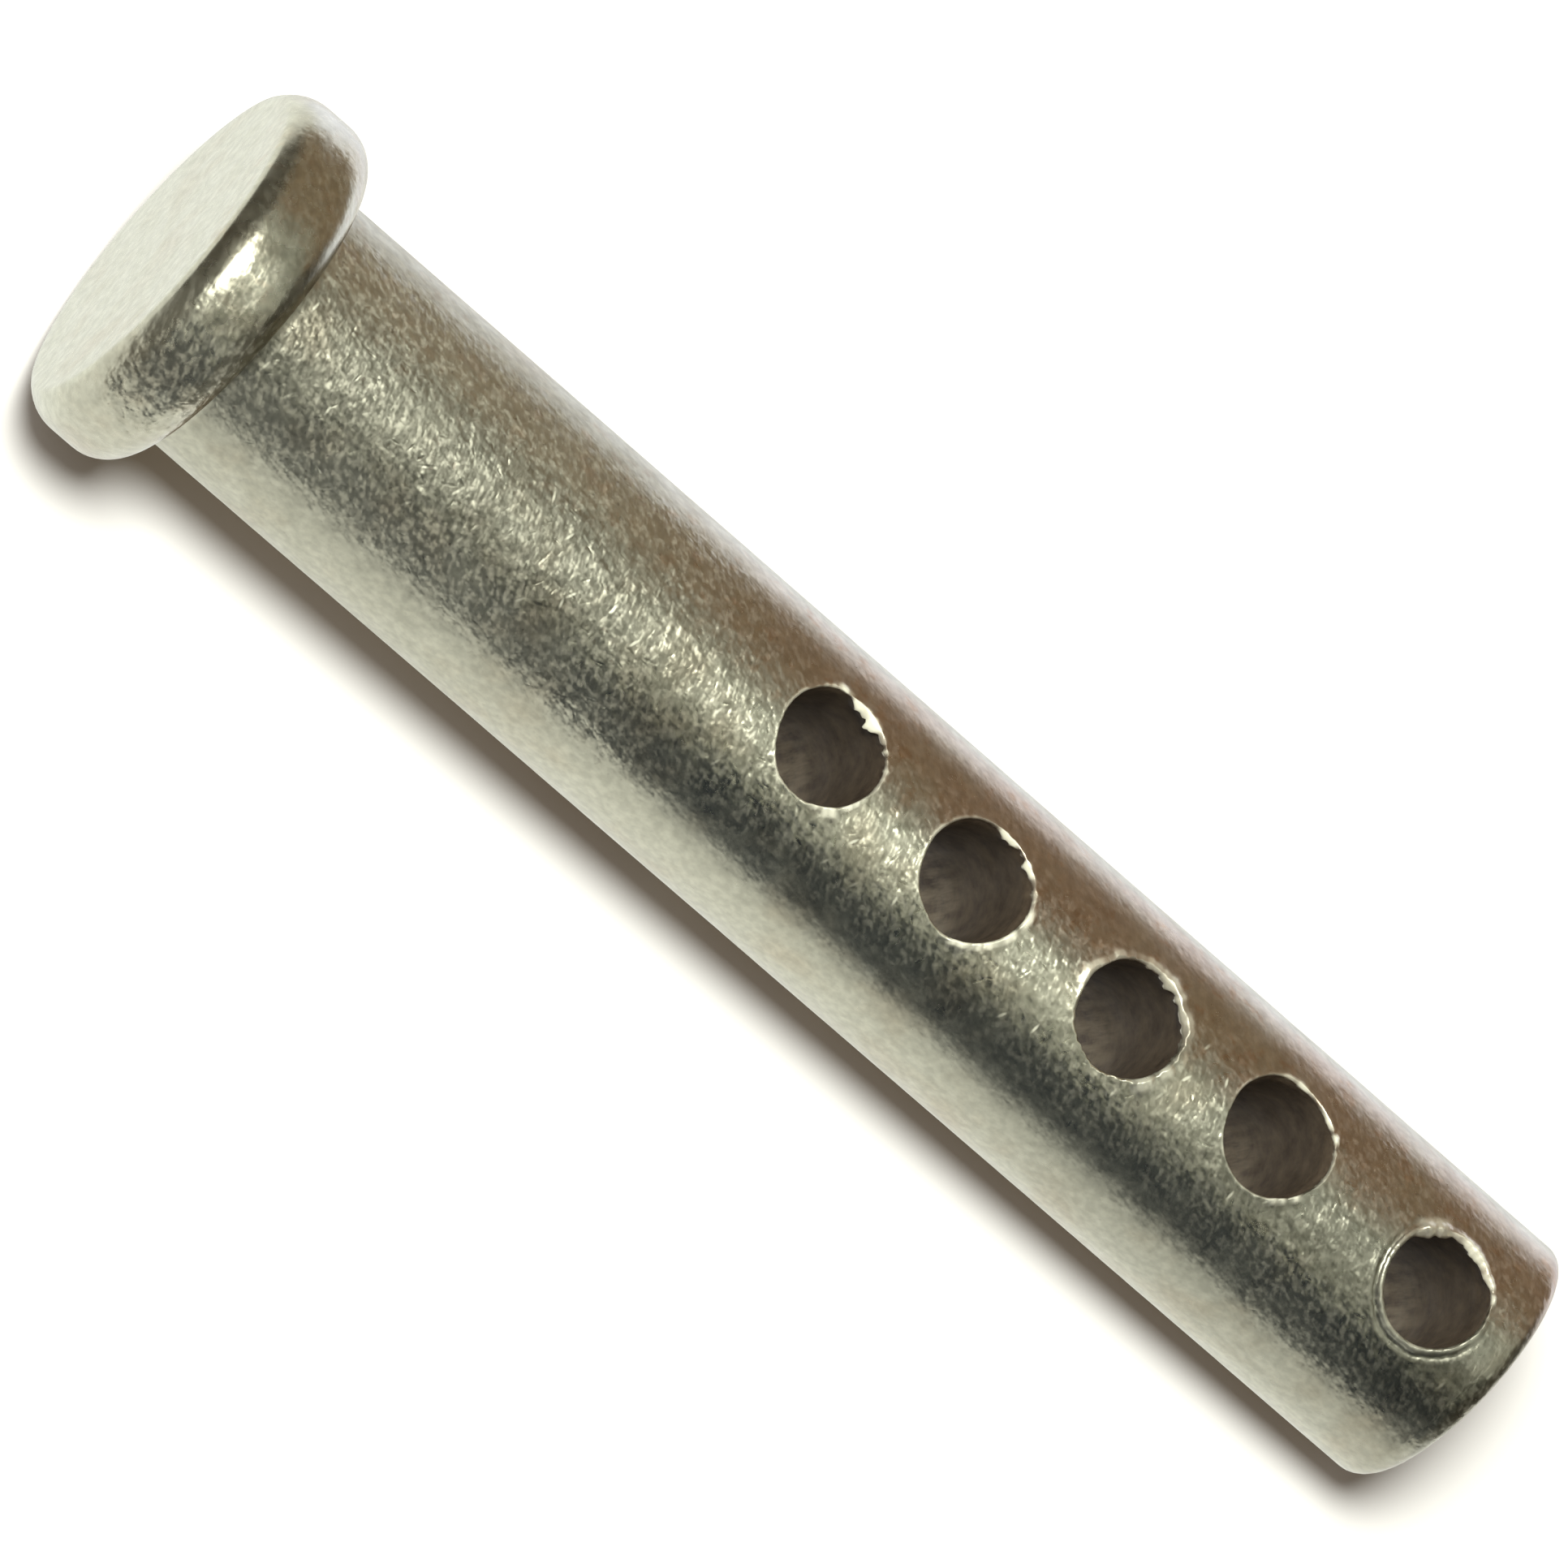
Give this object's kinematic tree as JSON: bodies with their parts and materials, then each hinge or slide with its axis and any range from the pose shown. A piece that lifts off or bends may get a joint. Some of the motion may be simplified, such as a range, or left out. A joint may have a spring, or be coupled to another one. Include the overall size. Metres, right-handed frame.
{
  "type": "clevis pin",
  "caption": "Plain steel pin with a flat round head and a row of cross holes along the shank, so that a cotter can lock it at several grip lengths.",
  "frame": {"origin": "centre of the head's flat face, on which the pin stands", "axes": "+Z along the pin from the head to the tip; the cross holes run along Y, within a few degrees"},
  "size_m": [0.0128, 0.0128, 0.0551],
  "materials": {
    "pin_steel": "satin"
  },
  "bodies": {
    "root": {"clevis_pin": "pin_steel"}
  },
  "joints": []
}
